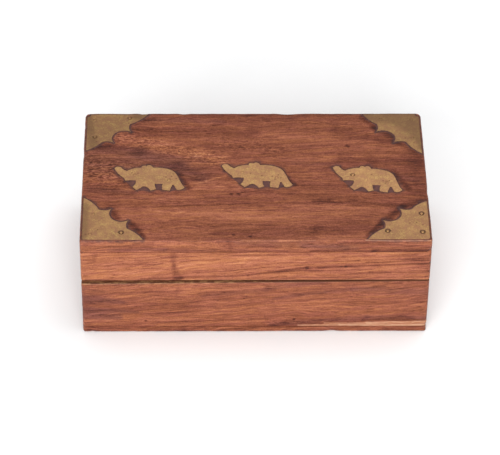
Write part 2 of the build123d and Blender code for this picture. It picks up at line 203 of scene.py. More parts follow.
def stroke_group():
    """A tapered stroke from A to B. Where it covers Spot's level place, it adds to Spot's z."""
    group = bpy.data.node_groups.new("stroke", "ShaderNodeTree")
    for name in ("Spot", "A", "B", "Half A", "Half B", "Adds"):
        kind = "Float" if name.startswith("Half") else "Vector"
        group.interface.new_socket(name, in_out="INPUT", socket_type="NodeSocket" + kind)
    group.interface.new_socket("Spot", in_out="OUTPUT", socket_type="NodeSocketVector")
    group.interface.new_socket("Cover", in_out="OUTPUT", socket_type="NodeSocketFloat")
    tree = Tree(group)
    given = tree.nodes.new("NodeGroupInput").outputs
    along = tree.vector("SUBTRACT", given["B"], given["A"])
    to_spot = tree.scaled(tree.vector("SUBTRACT", given["Spot"], given["A"]), (1.0, 1.0, 0.0))
    reach = tree.add("VectorMath", to_spot, along, operation="DOT_PRODUCT").outputs["Value"]
    length = tree.add("VectorMath", along, along, operation="DOT_PRODUCT").outputs["Value"]
    share = tree.add("Math", reach, length, operation="DIVIDE", use_clamp=True).outputs[0]
    step = tree.scaled(along, tree.join(share, share, share))
    aside = tree.vector("SUBTRACT", to_spot, step)
    distance = tree.add("VectorMath", aside, operation="LENGTH").outputs["Value"]
    widening = tree.math("SUBTRACT", given["Half B"], given["Half A"])
    half = tree.math("MULTIPLY_ADD", share, widening, given["Half A"])
    cover = tree.smooth(tree.math("DIVIDE", distance, half), 0.1, 1.5, 1.0, 0.0)
    added = tree.scaled(given["Adds"], tree.join(cover, cover, cover))
    result = tree.nodes.new("NodeGroupOutput")
    tree.feed(result.inputs["Spot"], tree.vector("ADD", given["Spot"], added))
    tree.feed(result.inputs["Cover"], cover)
    return group


STROKE = stroke_group()


def stroke(tree, spot, start, end, half_start, half_end, adds):
    """Lays one stroke. Gives the spot with its value added to, and the stroke's cover."""
    group = tree.nodes.new("ShaderNodeGroup")
    group.node_tree = STROKE
    tree.feed(group.inputs["Spot"], spot)
    group.inputs["A"].default_value = (*start, 0.0)
    group.inputs["B"].default_value = (*end, 0.0)
    group.inputs["Half A"].default_value = half_start
    group.inputs["Half B"].default_value = half_end
    group.inputs["Adds"].default_value = (0.0, 0.0, adds)
    return group.outputs["Spot"], group.outputs["Cover"]


# ---------------------------------------------------------------- wood

# The heartwood's colour at each tone. All colours here are in linear light.
HEARTWOOD = (
    (0.00, (0.036, 0.006, 0.003)),
    (0.25, (0.114, 0.025, 0.010)),
    (0.50, (0.238, 0.069, 0.033)),
    (0.75, (0.400, 0.138, 0.062)),
    (1.00, (0.570, 0.250, 0.125)),
)
SAPWOOD_STREAK, SAPWOOD = (0.42, 0.19, 0.10), (0.51, 0.290, 0.180)
COOL, WARM = (0.985, 0.960, 1.080), (1.010, 1.035, 0.910)
SCUFFED = (0.52, 0.34, 0.23)
STAIN = (0.055, 0.026, 0.024)
# The next two are the rims' colours: painted shade for the gap under the lid, then dust flecks with painted
# glints.
RIM_SHADE = (0.140, 0.052, 0.028)
DUST_AND_GLINT = (0.36, 0.180, 0.082)

# How far each kind of mark moves the wood's tone, which runs from 0, darkest, to 1.
MARK_TONES = {
    "orange": 0.13,
    "pale": 0.15,
    "brown": -0.15,
    "purple": -0.14,
    "line": -0.28,
    "fleck": 0.28,
    "knot": -0.55,
    "curl": 0.0,
    "grey": -0.03,
    "soot": -0.30,
    "sap": 0.20,
    "scuff": 0.30,
}

# Marks in the wood that a board shows, and a few lines of painted shade along arrises: kind, from, to,
# half-width at each of those, strength.
# Places are millimetres: x and y on the top, x and z on the fronts and on the top board's front edge.
TOP_MARKS = (
    ("curl", (-74, 31), (-18, 12), 7.0, 6.0, 0.8),
    ("curl", (-87, 4), (-62, 0), 14.0, 10.0, 0.85),
    ("curl", (-14, 26), (14, 20), 7.0, 5.0, 0.45),
    ("pale", (-72, 29), (-48, 25), 3.0, 4.8, 0.55),
    ("pale", (-48, 25), (-30, 18), 4.8, 4.2, 0.65),
    ("pale", (-30, 18), (-15, 9), 4.2, 2.4, 0.5),
    ("brown", (-62, 35), (-2, 34), 3.2, 5.0, 0.8),
    ("brown", (-24, 24), (14, 22), 3.0, 4.0, 0.5),
    ("purple", (-84, 22), (-60, 18), 3.0, 4.4, 0.8),
    ("purple", (-60, 17), (-40, 9), 4.6, 5.8, 0.8),
    ("purple", (-40, 6), (-27, -3), 5.4, 4.2, 0.65),
    ("purple", (-58, 45), (-16, 43), 3.0, 1.6, 0.55),
    ("purple", (-32, 15), (-25, 11), 2.2, 1.8, 0.45),
    ("purple", (-84, -11), (-62, -14), 2.6, 1.8, 0.55),
    ("brown", (-86, 9), (-68, 6), 9.0, 8.0, 0.6),
    ("brown", (-86, -8), (-72, -11), 5.0, 4.0, 0.6),
    ("brown", (-20, 47), (70, 47), 4.0, 4.0, 0.65),
    ("brown", (0, 38), (56, 40), 4.0, 3.0, 0.45),
    ("brown", (85, 18), (85, -24), 7.0, 7.5, 1.0),
    ("brown", (62, 12), (84, 10), 4.0, 6.0, 0.7),
    ("brown", (46, 13), (62, 10), 3.6, 3.6, 0.7),
    ("brown", (44, 34), (74, 26), 5.0, 6.0, 0.8),
    ("brown", (50, -20), (74, -24), 4.0, 5.0, 0.7),
    ("brown", (-30, -41), (-4, -44), 3.4, 3.6, 0.25),
    ("brown", (-4, -45), (30, -43), 3.8, 4.4, 0.6),
    ("brown", (30, -43), (58, -38), 4.4, 6.0, 0.85),
    ("purple", (58, 4), (84, -4), 2.4, 3.0, 0.5),
    ("purple", (20, 10), (44, 8), 1.6, 2.0, 0.35),
    ("orange", (-54, -44), (-24, -44), 3.6, 3.2, 0.7),
    ("brown", (16, -15), (50, -20), 3.0, 4.0, 0.5),
    ("brown", (-66, -17), (-50, -19), 2.0, 1.2, 0.4),
    ("line", (-66, -25.5), (-14, -22.5), 0.7, 0.6, 0.4),
    ("line", (-14, -22.5), (40, -21), 0.6, 0.8, 0.45),
    ("line", (30, -20.5), (44, -21.5), 1.3, 0.9, 0.65),
    ("line", (-44, -35), (-18, -32), 0.6, 0.5, 0.35),
    ("line", (22, -8), (50, -9), 0.6, 0.5, 0.3),
    ("line", (-40, 1), (-28, -4), 0.9, 0.8, 0.35),
    ("fleck", (-37, -9), (-25, -4.6), 0.5, 0.8, 0.65),
    ("fleck", (-25, -4.6), (-15, -0.8), 0.8, 0.5, 0.75),
    ("fleck", (-33, -11), (-16, -9), 0.6, 0.6, 0.45),
    ("fleck", (-42, -30), (-36, -28.6), 0.9, 0.7, 0.55),
    ("fleck", (-24, 13), (-12, 15), 1.0, 0.6, 0.5),
    ("orange", (-64, -31), (-4, -31), 7.0, 6.0, 0.8),
    ("orange", (-4, -30), (50, -29), 5.2, 3.2, 0.55),
    ("orange", (-30, -9), (-4, -9), 3.0, 2.4, 0.65),
    ("orange", (14, 31), (60, 27), 3.0, 3.6, 0.45),
    ("orange", (60, 24), (84, 21), 3.6, 3.0, 0.6),
    ("orange", (-26, 37), (10, 40), 2.4, 2.4, 0.15),
    ("orange", (-60, -17), (-28, -19), 3.0, 2.6, 0.5),
    ("orange", (2, -34), (24, -33), 3.0, 3.0, 0.55),
    ("brown", (-30, 1), (-18, 0), 2.4, 2.0, 0.55),
    ("brown", (-72, 34), (-58, 32), 2.0, 2.0, 0.5),
    ("orange", (22, 2), (44, -4), 3.4, 2.6, 0.3),
    ("soot", (-42, 2), (-34, -10), 3.2, 1.8, 0.85),
    ("soot", (-69, -4), (-61.0, -9.5), 2.2, 1.8, 0.85),
    ("soot", (11, 5), (20.5, -8.0), 2.2, 1.6, 0.85),
    ("soot", (71.6, 1.0), (79, -11), 2.6, 2.0, 0.85),
    ("soot", (-64.6, -36.5), (-56.5, -47.0), 2.4, 1.2, 1.0),
    ("soot", (-74.5, -27.0), (-70, -33), 2.2, 1.8, 0.95),
    ("grey", (-86, 12), (-64, 5), 11.0, 9.0, 0.95),
    ("grey", (-62, 15), (-26, 2), 8.0, 8.0, 0.4),
    ("soot", (-61.0, 42.5), (-53, 45), 2.4, 1.6, 0.55),
    ("soot", (-86.0, 21.5), (-76.0, 23.5), 1.6, 1.4, 0.5),
    ("soot", (58.0, 46.5), (64.5, 37.5), 2.4, 1.6, 0.8),
    ("soot", (64.5, 37.5), (73.5, 30.5), 2.8, 1.6, 0.8),
    ("soot", (73.5, 27.0), (83.5, 18.5), 1.8, 1.0, 0.55),
    ("soot", (56.5, -46.5), (64.5, -37.0), 1.2, 2.0, 0.95),
    ("soot", (64.5, -37.0), (75, -25), 2.8, 2.2, 0.85),
    ("soot", (75.0, -24.5), (85.0, -20.5), 1.8, 1.2, 0.65),
    # Painted shade: a thin dark line along the back arris, where the rounded edge turns away from the
    # light.
    ("brown", (-60, 49.8), (62, 49.8), 0.7, 0.7, 1.0),
    ("knot", (48.6, 23.5), (49.8, 22.7), 1.0, 0.9, 0.6),
    ("knot", (-12.3, -14.6), (-11.8, -14.9), 0.9, 0.9, 0.55),
    ("knot", (-8.6, -14.8), (-8.0, -15.1), 0.9, 0.9, 0.55),
    ("knot", (-11.2, -46.2), (-10.8, -46.0), 0.8, 0.8, 0.6),
    ("knot", (-3.0, -47.5), (-2.6, -47.3), 0.8, 0.8, 0.6),
)
LID_FRONT_MARKS = (
    ("brown", (-42.0, 56), (-41.6, 47), 2.2, 1.4, 1.0),
    ("brown", (-41.6, 47), (-40.4, 37), 1.4, 2.6, 1.2),
    ("brown", (-81, 56), (-82, 50), 1.8, 1.0, 0.55),
    ("line", (-58, 37.8), (-38, 38.5), 0.8, 1.4, 0.85),
    ("line", (-38, 38.3), (-4, 40.3), 1.2, 0.8, 0.7),
    ("line", (-4, 40.3), (26, 45.2), 0.8, 1.1, 0.9),
    ("line", (26, 45.2), (46, 46.2), 1.1, 0.8, 0.95),
    ("line", (46, 46.2), (90, 48.4), 0.8, 0.6, 1.2),
    ("line", (56, 49.0), (90, 50.4), 0.45, 0.5, 0.8),
    ("line", (6, 42.6), (60, 44.2), 0.35, 0.35, 0.6),
    ("line", (14, 48.6), (52, 50.2), 0.35, 0.35, 0.55),
    ("line", (-86, 47.2), (-44, 48.0), 0.35, 0.35, 0.55),
    ("line", (-30, 47.6), (4, 51.0), 0.35, 0.35, 0.5),
    ("line", (-14, 53.6), (30, 54.6), 0.4, 0.4, 0.45),
    ("line", (-48, 52.4), (-30, 53.6), 0.6, 0.6, 0.7),
    ("line", (-48, 49.6), (-18, 51.0), 0.5, 0.5, 0.5),
    ("line", (44, 53.2), (60, 53.8), 0.6, 0.5, 0.5),
    ("brown", (-4, 38.0), (90, 38.6), 0.8, 1.1, 0.9),
    ("line", (40, 41.6), (90, 42.2), 0.35, 0.35, 0.55),
    ("line", (44, 50.0), (90, 51.6), 0.35, 0.4, 0.55),
    ("line", (-84, 44.2), (-48, 45.0), 0.3, 0.35, 0.5),
    ("line", (-30, 41.8), (24, 47.4), 0.3, 0.35, 0.5),
    ("line", (-36, 52.2), (-4, 54.2), 0.35, 0.35, 0.5),
    ("brown", (76, 54), (90, 46), 4.0, 6.0, 0.85),
    ("brown", (32, 46), (62, 47), 1.4, 1.8, 0.85),
    ("brown", (-12, 54.4), (90, 54.4), 0.6, 1.4, 0.5),
    ("brown", (-86, 41.6), (-70, 41.6), 1.6, 1.2, 0.6),
    ("line", (58, 42.4), (90, 43.2), 0.6, 0.7, 0.6),
    ("line", (40, 52.4), (90, 53.6), 0.5, 0.5, 0.4),
    ("line", (-88, 48.6), (-50, 49.4), 0.6, 0.5, 0.3),
    ("line", (-36, 44.6), (10, 50), 0.5, 0.5, 0.3),
    ("orange", (-84, 41), (-56, 41), 3.0, 2.4, 0.5),
    ("orange", (-38, 46), (16, 52), 2.6, 3.0, 0.6),
    ("orange", (20, 53), (88, 55), 1.6, 1.0, 0.45),
    ("orange", (30, 45.6), (86, 47.4), 1.6, 1.4, 0.4),
)
BASE_FRONT_MARKS = (
    ("brown", (-39.4, 34), (-40.0, 27), 1.8, 1.0, 0.55),
    ("purple", (-91, 12.4), (-70, 11.0), 3.4, 2.0, 1.05),
    ("orange", (-36, 29.5), (-2, 30.4), 1.4, 1.0, 0.6),
    ("brown", (-60, 3.0), (10, 3.6), 1.6, 2.6, 0.7),
    ("brown", (10, 3.6), (91, 3.0), 2.6, 2.4, 1.3),
    ("purple", (-91, 24.5), (-68, 21.5), 4.2, 1.4, 0.95),
    ("purple", (-91, 16.5), (-60, 14.4), 3.0, 0.9, 0.9),
    ("purple", (-91, 31), (-76, 29), 2.0, 0.9, 0.35),
    ("brown", (-86, 20), (-30, 18), 6.0, 4.0, 0.4),
    ("purple", (-26, 26), (6, 30.0), 1.6, 1.6, 0.4),
    ("purple", (6, 31.5), (34, 34.8), 2.0, 1.4, 0.45),
    ("purple", (10, 24), (36, 28.6), 1.0, 1.3, 0.55),
    ("purple", (36, 28.6), (66, 32), 1.3, 1.0, 0.5),
    ("purple", (50, 30), (90, 28), 1.8, 2.8, 0.6),
    ("purple", (8, 5.2), (58, 10.4), 1.8, 1.8, 0.65),
    ("purple", (58, 10.4), (90, 10.0), 1.8, 1.5, 0.65),
    ("brown", (14, 7.0), (56, 8.2), 1.6, 1.4, 0.8),
    ("brown", (56, 8.4), (91, 8.8), 1.2, 1.3, 1.2),
    ("line", (-50, 7.2), (10, 9.6), 0.6, 0.6, 0.3),
    ("line", (-86, 27.5), (-46, 29), 0.5, 0.5, 0.4),
    ("line", (-88, 33), (-44, 33.5), 0.5, 0.4, 0.3),
    ("line", (-80, 12.4), (-30, 14.6), 0.5, 0.5, 0.3),
    ("orange", (-30, 13), (44, 21), 4.2, 4.6, 0.45),
    ("orange", (-84, 9), (-40, 9), 2.2, 2.0, 0.5),
    ("orange", (-66, 33), (-30, 31), 2.0, 2.0, 0.5),
    ("orange", (40, 15), (88, 19), 3.0, 3.4, 0.45),
    # Painted shade: a dark band along the bottom edge, standing for the shade of the rounded bottom arris.
    ("brown", (-91, 1.0), (91, 0.8), 2.8, 2.6, 2.4),
    ("sap", (22, 4.8), (44, 4.9), 0.3, 0.8, 0.75),
    ("sap", (44, 4.9), (91, 4.9), 0.8, 1.1, 0.95),
    ("sap", (36, 6.2), (60, 6.4), 0.3, 0.6, 0.55),
    ("sap", (58, 6.4), (91, 7.2), 0.6, 0.8, 0.85),
    ("knot", (-56.4, 8.3), (-56.2, 8.3), 0.7, 0.7, 0.7),
    ("knot", (20.0, 9.2), (20.3, 9.2), 0.7, 0.7, 0.8),
)
EDGE_MARKS = (
    ("purple", (-74, 57.8), (-46, 58.2), 1.2, 1.4, 0.55),
    ("purple", (-46, 57.4), (-20, 57.2), 1.4, 0.8, 0.4),
    ("orange", (-34, 59.0), (-6, 57.4), 1.4, 1.2, 0.55),
    ("brown", (-14.0, 63), (-12.6, 57), 1.4, 1.2, 0.7),
    ("pale", (-50, 61.6), (-18, 60.4), 1.6, 1.6, 0.55),
    ("pale", (14, 60.0), (28, 60.4), 1.0, 1.0, 0.45),
    ("brown", (28, 56.6), (60, 56.6), 1.0, 1.6, 1.4),
    ("brown", (60, 56.6), (91, 56.8), 1.8, 1.8, 2.0),
    ("line", (50, 59.6), (91, 59.0), 0.4, 0.5, 0.35),
    ("pale", (-28, 60.0), (-4, 60.6), 1.4, 1.2, 0.55),
    ("pale", (12, 58.6), (30, 58.4), 0.9, 0.9, 0.45),
    ("pale", (60, 59.2), (90, 59.4), 0.9, 0.9, 0.6),
    ("grey", (-10, 62.6), (16, 61.6), 1.6, 2.2, 0.75),
    ("grey", (22, 61.4), (50, 59.0), 2.4, 2.2, 0.8),
    ("purple", (24, 60.5), (46, 59.4), 1.6, 1.4, 0.45),
    ("line", (44, 63), (90, 59.4), 0.7, 0.8, 0.45),
    ("line", (-88, 60.5), (-52, 60.0), 0.6, 0.6, 0.35),
    ("line", (-4, 60.2), (24, 59.6), 0.6, 0.6, 0.35),
    ("orange", (-88, 62), (-66, 61.6), 1.6, 1.2, 0.5),
    ("orange", (-50, 62.6), (-20, 62.2), 1.2, 1.2, 0.6),
    ("orange", (52, 61.6), (88, 62.6), 0.8, 0.8, 0.45),
    ("scuff", (55, 64.1), (88, 63.9), 0.3, 0.42, 0.38),
    ("scuff", (-8, 64.1), (30, 64.1), 0.2, 0.2, 0.1),
)

# The kinds whose cover is used for more than tone, and the tints that some of them multiply in.
COVERING = ("curl", "purple", "grey", "sap", "scuff")
TINTS = {"purple": (0.92, 1.00, 1.32), "grey": (0.98, 1.10, 1.24)}

# How far each layer of grain moves the tone, and how far the finer things do.
GRAIN_SHARES = {"growth": 0.18, "streak": 0.24, "fibre": 0.40, "fleck": 0.34}
SPECKLE_SWING, CURL_SWING, PORE_TONE, RUBBED_TONE = 0.56, 1.8, -0.16, 0.10

SEED_STEP = (37.0, 53.0, 71.0)  # how far a seed of 1 moves a plank through the noise, in millimetres
SWAY, RIPPLE = (0.0, 14.0, 14.0), (0.0, 3.6, 3.6)  # how far the grain strays from straight


def unfolded(edge_marks):
    """Marks on the top board's front edge, laid out in the plane of its top."""
    fold = (BOX_LOW.y - BOX_HIGH.z) / MM
    carried = []
    for kind, start, end, *rest in edge_marks:
        carried.append((kind, (start[0], start[1] + fold), (end[0], end[1] + fold), *rest))
    return tuple(carried)


def marked(tree, place, tone, marks, marks_on):
    """Adds each mark to the tone. Gives the tone and the cover of the kinds in COVERING."""
    fray = tree.drift(place, (0.06, 0.6, 0.6), 3.0, 0.6)
    x, y, z = tree.axes(tree.vector("ADD", place, tree.scaled(fray, (3.0, 1.5, 1.5))))
    across = z
    if marks_on == "XY":
        # Past the front arris y stands still and z falls, so their sum runs on down the edge.
        across = tree.math("SUBTRACT", tree.math("ADD", y, z), BOX_HIGH.z / MM)
    covers = {}
    spot = tree.join(x, across, tone)
    for kind, start, end, half_start, half_end, strength in marks:
        spot, cover = stroke(tree, spot, start, end, half_start, half_end, strength * MARK_TONES[kind])
        if kind in COVERING:
            covers[kind] = tree.math("MULTIPLY_ADD", cover, strength, covers.get(kind, 0.0))
    return tree.axes(spot)[2], covers


def plank_place(tree, place, grain, seed, lean):
    """A place in the seed's plank, whose grain runs along X or Y, climbs by lean and sways."""
    x, y, z = tree.axes(place)
    along, across = (x, y) if grain == "X" else (y, x)
    depth = tree.math("SUBTRACT", z, tree.math("MULTIPLY", along, lean))
    plank = tree.vector("ADD", tree.join(along, across, depth), tuple(seed * step for step in SEED_STEP))
    sway = tree.drift(plank, (0.008, 0.028, 0.028), 1.0)
    ripple = tree.drift(plank, (0.05, 0.16, 0.16), 2.0)
    plank = tree.vector("ADD", plank, tree.scaled(sway, SWAY))
    return tree.vector("ADD", plank, tree.scaled(ripple, RIPPLE))


def rosewood(name, tone, seed, grain="X", lean=0.0, contrast=1.5, marks=(), marks_on="XZ", stained=False):
    """Satin rosewood. The tone is its mean shade, and contrast says how far the grain moves it."""
    made, tree = material(name)
    place = tree.place_mm()
    plank = plank_place(tree, place, grain, seed, lean)
    layers = {
        "fibre": tree.noise(plank, (0.035, 1.25, 1.25), 2.0, 0.65),
        "fleck": tree.noise(plank, (0.150, 1.70, 1.70), 2.0, 0.60),
        "growth": tree.noise(plank, (0.007, 0.11, 0.11), 2.0, 0.55),
        "streak": tree.noise(plank, (0.013, 0.42, 0.42), 2.0, 0.60),
    }
    fibre, fleck = layers["fibre"], layers["fleck"]
    for layer, share in GRAIN_SHARES.items():
        tone = tree.swing(tone, layers[layer], share * contrast)
    tone = tree.swing(tone, tree.noise(place, (1.3, 2.1, 2.1), 2.0, 0.6), SPECKLE_SWING)
    covers = {}
    if marks:
        tone, covers = marked(tree, place, tone, marks, marks_on)
    if "curl" in covers:
        dots = tree.noise(place, (0.50, 0.95, 0.95), 2.0, 0.6, 0.6)
        tone = tree.swing(tone, dots, tree.math("MULTIPLY", covers["curl"], CURL_SWING))
    pores = pore_share(tree, plank)
    tone = tree.math("MULTIPLY_ADD", pores, PORE_TONE, tone)
    rubbed = tree.smooth(tree.swing(tree.attribute("wear"), fleck, 1.2), 0.4, 1.0)
    tone = tree.math("MULTIPLY_ADD", rubbed, RUBBED_TONE, tone)

    colour = wood_colour(tree, plank, tone, fleck, covers)
    # Painted shade, dust and painted glints on the rims where lid and base meet.
    colour = shaded_rim(tree, colour, place)
    if stained:
        colour = stained_near_brass(tree, colour, place, fibre)
    rough = tree.math("MULTIPLY_ADD", fibre, 0.16, tree.math("MULTIPLY_ADD", pores, 0.25, 0.36))
    relief = tree.math("SUBTRACT", tree.math("MULTIPLY", fibre, 0.4), pores)
    normal = tree.bump(relief, 0.06 * MM, 0.8)
    tree.surface(colour, rough, normal, Coat_Weight=0.03, Coat_Roughness=0.25, Specular_IOR_Level=0.20)
    return made


def pore_share(tree, plank):
    """1 in the short dark vessels of the wood, 0 between them."""
    dashes = tree.noise(plank, (0.22, 1.9, 1.9), 1.0)
    groups = tree.noise(plank, (0.03, 0.16, 0.16), 1.0)
    level = tree.math("MULTIPLY_ADD", groups, 0.25, dashes)
    return tree.smooth(level, 0.73, 0.86)


def wood_colour(tree, plank, tone, fleck, covers):
    """The heartwood's colour, cooler and warmer in strands, tinted by the marks that cover it."""
    hue = tree.noise(plank, (0.05, 0.45, 0.45), 3.0, 0.65)
    strands = tree.mix(tree.smooth(hue, 0.36, 0.64), COOL, WARM)
    colour = tree.mix(1.0, tree.ramp(tone, HEARTWOOD), strands, "MULTIPLY")
    for kind, tint in TINTS.items():
        if kind in covers:
            colour = tree.mix(covers[kind], colour, tint, "MULTIPLY")
    if "sap" in covers:
        sap = tree.mix(tree.smooth(fleck, 0.38, 0.62), SAPWOOD_STREAK, SAPWOOD)
        colour = tree.mix(covers["sap"], colour, sap)
    if "scuff" in covers:
        colour = tree.mix(covers["scuff"], colour, SCUFFED)
    return colour


def shaded_rim(tree, colour, place):
    """Painted shade on the sawn rims where the lid closes, standing for the shade in the gap under the lid,
    with flecks of dust and painted glint that thin out to the right; weaker behind the front arris.
    """
    x, y, _ = tree.axes(place)
    flakes = tree.noise(place, (0.22, 0.9, 0.9), 3.0, 0.65)
    flakes = tree.math("ADD", flakes, tree.smooth(x, -20.0, 50.0, 0.0, -0.22))
    shade_and_glint = tree.mix(tree.smooth(flakes, 0.42, 0.62), RIM_SHADE, DUST_AND_GLINT)
    inside = tree.smooth(y, -49.0, -47.6, 1.0, 0.35)
    return tree.mix(tree.math("MULTIPLY", tree.attribute("rim"), inside), colour, shade_and_glint)


def stained_near_brass(tree, colour, place, fibre):
    """Dark polish and resin, soaked into the wood round the brass."""
    blot = tree.noise(place, (0.22, 0.30, 0.30), 3.0, 0.6)
    reach = tree.swing(tree.attribute("brass_gap"), blot, -5.0)
    reach = tree.swing(reach, fibre, -1.4)
    return tree.mix(tree.smooth(reach, 0.2, 2.2, 0.62, 0.0), colour, STAIN)


# ---------------------------------------------------------------- other materials

GOLD, BROWN = (0.52, 0.285, 0.125), (0.37, 0.190, 0.092)
PATINA_GOLD, PATINA_RED = (0.62, 0.40, 0.15), (0.42, 0.205, 0.120)
TARNISHED, GRIMY = (0.170, 0.092, 0.046), (0.105, 0.055, 0.036)
SPECK, PIT = (0.20, 0.10, 0.05), (0.16, 0.062, 0.035)
PIT_LONG, PIT_HALF_START, PIT_HALF_END = (0.3, 0.1), 0.42, 0.30  # millimetres
FILLER = (
    (0.30, (0.062, 0.028, 0.028)),
    (0.55, (0.108, 0.048, 0.044)),
    (0.80, (0.155, 0.068, 0.055)),
)
FILLER_BY_WOOD, SAWDUST = (0.150, 0.054, 0.036), (0.22, 0.11, 0.07)
ROLLED_BRASS = (
    (0.30, (0.42, 0.25, 0.095)),
    (0.50, (0.68, 0.45, 0.17)),
    (0.72, (0.82, 0.60, 0.27)),
)
ROLLED_SPECK = (0.12, 0.065, 0.03)
STEEL_AND_RUST = (
    (0.35, (0.40, 0.39, 0.37)),
    (0.58, (0.26, 0.23, 0.20)),
    (0.72, (0.20, 0.085, 0.035)),
)
VELVET = (
    (0.32, (0.060, 0.003, 0.007)),
    (0.52, (0.155, 0.007, 0.016)),
    (0.70, (0.29, 0.020, 0.034)),
)
VELVET_SHEEN = (0.85, 0.32, 0.34, 1.0)
FLOOR = ((0.3, (0.960, 0.965, 0.970)), (0.7, (0.970, 0.975, 0.980)))


def dimmed(colour, brightness):
    return tuple(c * brightness for c in colour)


def aged_brass(name, brightness, pits, tarnish):
    """Flat sheet brass, filed flush and dulled, with grime by its edges and nails, pits and tarnish."""
    made, tree = material(name)
    place = tree.place_mm()
    mottle = tree.noise(place, 0.8, 4.0, 0.65)
    cloud = tree.noise(place, 0.10, 4.0, 0.6)
    share = tree.math("MULTIPLY_ADD", mottle, 0.45, tree.math("MULTIPLY", cloud, 0.65))
    colour = tree.mix(tree.smooth(share, 0.36, 0.76), dimmed(BROWN, brightness), dimmed(GOLD, brightness))
    tinge = tree.swing(tree.noise(place, 0.28, 3.0, 0.6), tree.noise(place, 1.5, 3.0, 0.7), 1.4)
    colour = tree.mix(tree.smooth(tinge, 0.48, 0.80, 0.0, 0.75), colour, dimmed(PATINA_GOLD, brightness))
    colour = tree.mix(tree.smooth(tinge, 0.22, 0.52, 0.72, 0.0), colour, dimmed(PATINA_RED, brightness))
    dull = blots(tree, place, [(start, end, half, half) for start, end, half in tarnish])
    colour = tree.mix(tree.math("MULTIPLY", dull, 0.50), colour, TARNISHED)
    specks = tree.smooth(tree.noise(place, 1.3), 0.66, 0.74)
    colour = tree.mix(tree.math("MULTIPLY", specks, 0.45), colour, SPECK)
    pit_ends = [(pit, (pit[0] + PIT_LONG[0], pit[1] + PIT_LONG[1])) for pit in pits]
    holes = blots(tree, place, [(*ends, PIT_HALF_START, PIT_HALF_END) for ends in pit_ends])
    colour = tree.mix(tree.math("MULTIPLY", holes, 0.8), colour, PIT)
    soil = tree.smooth(tree.swing(tree.attribute("grime"), mottle, 0.9), 0.25, 0.95)
    colour = tree.mix(tree.math("MULTIPLY", soil, 0.80), colour, GRIMY)

    x, y, z = tree.axes(place)
    turned = tree.join(tree.math("MULTIPLY_ADD", y, 0.5, x), tree.math("MULTIPLY_ADD", x, -0.5, y), z)
    filed = tree.noise(turned, (0.5, 9.0, 4.0), 3.0, 0.7)
    rough = tree.math("MULTIPLY_ADD", filed, 0.18, tree.math("MULTIPLY_ADD", soil, 0.2, 0.44))
    relief = tree.math("MULTIPLY_ADD", filed, 0.35, tree.math("MULTIPLY", mottle, 0.8))
    relief = tree.math("SUBTRACT", relief, specks)
    tree.surface(colour, rough, tree.bump(relief, 0.03 * MM, 0.8), Metallic=0.80)
    return made


def blots(tree, place, strokes):
    """How much of level strokes, each from, to and its two half-widths, covers a place."""
    x, y, _ = tree.axes(place)
    spot = tree.join(x, y, 0.0)
    for start, end, half_start, half_end in strokes:
        spot, _ = stroke(tree, spot, start, end, half_start, half_end, 1.0)
    return tree.smooth(tree.axes(spot)[2], 0.0, 1.0)


def resin_filler():
    """Dark resin and sawdust, rough and a little sunk."""
    made, tree = material("resin_filler")
    place = tree.place_mm()
    coarse = tree.noise(place, 0.5, 4.0, 0.65)
    fine = tree.noise(place, 3.5, 3.0, 0.6)
    reach = tree.swing(tree.attribute("brass_gap"), coarse, 1.6)
    by_wood = tree.smooth(reach, 0.6, 2.2, 0.0, 0.50)
    colour = tree.mix(by_wood, tree.ramp(coarse, FILLER), FILLER_BY_WOOD)
    colour = tree.mix(tree.smooth(fine, 0.62, 0.74), colour, SAWDUST)
    rough = tree.math("MULTIPLY_ADD", fine, 0.25, 0.55)
    tree.surface(colour, rough, tree.bump(fine, 0.12 * MM, 0.9), Specular_IOR_Level=0.15)
    return made


def hinge_brass():
    """Rolled brass strip with drawing lines along the hinge and dull patches."""
    made, tree = material("hinge_brass")
    place = tree.place_mm()
    drawn = tree.noise(place, (0.25, 7.0, 7.0), 3.0, 0.6)
    cloud = tree.noise(place, (0.22, 0.3, 0.3), 4.0, 0.6)
    specks = tree.smooth(tree.noise(place, 2.6), 0.66, 0.76)
    colour = tree.mix(tree.math("MULTIPLY", specks, 0.55), tree.ramp(cloud, ROLLED_BRASS), ROLLED_SPECK)
    rough = tree.math("MULTIPLY_ADD", drawn, 0.22, tree.math("MULTIPLY_ADD", specks, 0.2, 0.24))
    tree.surface(colour, rough, tree.bump(drawn, 0.02 * MM, 0.7), Metallic=0.95)
    return made


def plain_steel():
    """Cut wire with a little rust."""
    made, tree = material("plain_steel")
    rust = tree.noise(tree.place_mm(), 1.8, 4.0, 0.65)
    colour = tree.ramp(rust, STEEL_AND_RUST)
    rough = tree.smooth(rust, 0.3, 0.7, 0.3, 0.7)
    tree.surface(colour, rough, tree.bump(rust, 0.03 * MM, 0.8), Metallic=0.85)
    return made


def red_velvet():
    """Deep red velvet with a crushed pile that catches the light in patches."""
    made, tree = material("red_velvet")
    place = tree.place_mm()
    crush = tree.noise(place, 0.055, 4.0, 0.6, 0.8)
    pile = tree.noise(place, 5.5, 2.0, 0.7)
    nap = tree.noise(place, (0.9, 0.35, 0.9), 3.0, 0.6)
    level = tree.math("MULTIPLY_ADD", pile, 0.25, tree.math("MULTIPLY", nap, 0.2))
    level = tree.math("MULTIPLY_ADD", crush, 0.55, level)
    lift = tree.math("MULTIPLY_ADD", pile, 0.6, tree.math("MULTIPLY", nap, 0.5))
    tree.surface(
        tree.ramp(level, VELVET),
        0.9,
        tree.bump(lift, 0.20 * MM, 0.9),
        Sheen_Weight=0.55,
        Sheen_Roughness=0.35,
        Sheen_Tint=VELVET_SHEEN,
        Specular_IOR_Level=0.2,
    )
    return made


